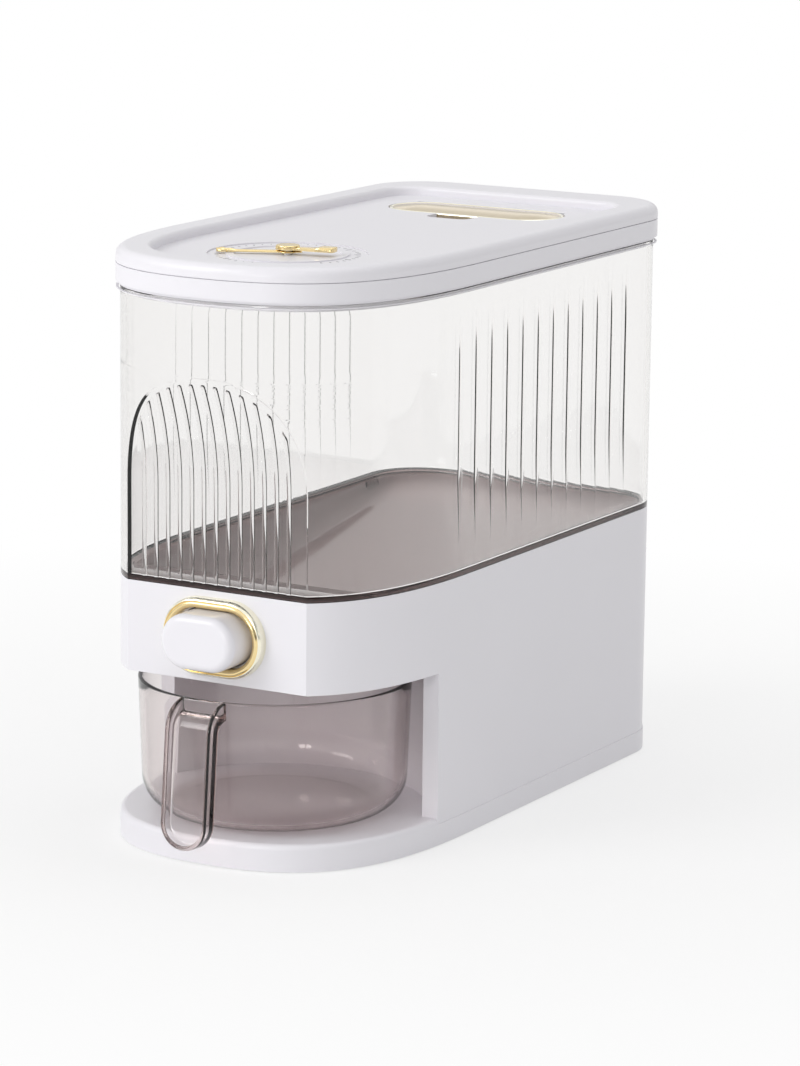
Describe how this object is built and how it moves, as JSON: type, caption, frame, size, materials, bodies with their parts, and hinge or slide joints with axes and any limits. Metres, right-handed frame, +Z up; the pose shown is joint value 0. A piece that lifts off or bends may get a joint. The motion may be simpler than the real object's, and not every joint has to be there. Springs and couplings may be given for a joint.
{
  "type": "rice dispenser",
  "caption": "Counter-top grain dispenser: clear tank with lift-off lid and date dial on a housing with a dose button that opens a gate over a pull-out measuring cup.",
  "frame": {"origin": "on the ground, under the middle of the whole object with the cup's handle", "axes": "+Z up, -Y to the front where the button and the cup are, +X to the right seen from behind the object's front"},
  "size_m": [0.165, 0.3446, 0.2856],
  "materials": {
    "white_plastic": "satin white moulding",
    "clear_plastic": "clear moulded plastic",
    "smoke_plastic": "smoke tinted transparent plastic",
    "gold_trim": "polished pale gold plating",
    "champagne_trim": "satin champagne gold",
    "silicone": "translucent white silicone",
    "steel": "plain steel",
    "grey_rubber": "grey anti-slip rubber"
  },
  "bodies": {
    "base": {"tank": "clear_plastic", "hopper": "smoke_plastic", "housing_shell": "white_plastic", "bay_liner": "white_plastic", "foot_plate": "white_plastic", "foot_pads": "grey_rubber", "housing_screws": "steel", "button_bezel": "gold_trim", "button_sleeve": "white_plastic", "gate_track": "white_plastic", "chute": "white_plastic", "spring_post": "white_plastic", "return_spring": "steel"},
    "button": {"button_cap": "white_plastic", "push_plate": "white_plastic", "gate_plate": "white_plastic"},
    "lid": {"lid_cover": "white_plastic", "lid_skirt": "white_plastic", "lid_liner": "white_plastic", "lid_seal": "silicone", "lid_screws": "steel", "dial_plate": "white_plastic", "dial_ring": "white_plastic", "dial_pivot": "steel", "hub_cap": "gold_trim", "bail_pins": "steel"},
    "bail": {"lid_bail": "champagne_trim"},
    "long_pointer": {"long_pointer": "gold_trim"},
    "short_pointer": {"short_pointer": "gold_trim"},
    "cup": {"measuring_cup": "smoke_plastic"}
  },
  "joints": [
    {"name": "lid_lift", "type": "slide", "parent": "base", "child": "lid", "axis": [0, 0, 1], "range_m": [0, 0.08]},
    {"name": "bail_fold", "type": "hinge", "parent": "lid", "child": "bail", "pos_m": [0, 0.11975, 0.2795], "axis": [-1, 0, 0], "range_deg": [0, 85]},
    {"name": "long_pointer_turn", "type": "hinge", "parent": "lid", "child": "long_pointer", "pos_m": [0, -0.07925, 0.282], "axis": [0, 0, 1], "continuous": true},
    {"name": "short_pointer_turn", "type": "hinge", "parent": "lid", "child": "short_pointer", "pos_m": [0, -0.07925, 0.283], "axis": [0, 0, 1], "continuous": true},
    {"name": "button_press", "type": "slide", "parent": "base", "child": "button", "axis": [0, 1, 0], "range_m": [0, 0.012], "stiffness_N_per_m": 220, "springref_m": -0.005, "deforming": ["return_spring"]},
    {"name": "cup_slide", "type": "slide", "parent": "base", "child": "cup", "axis": [0, -1, 0], "range_m": [0, 0.16]}
  ]
}
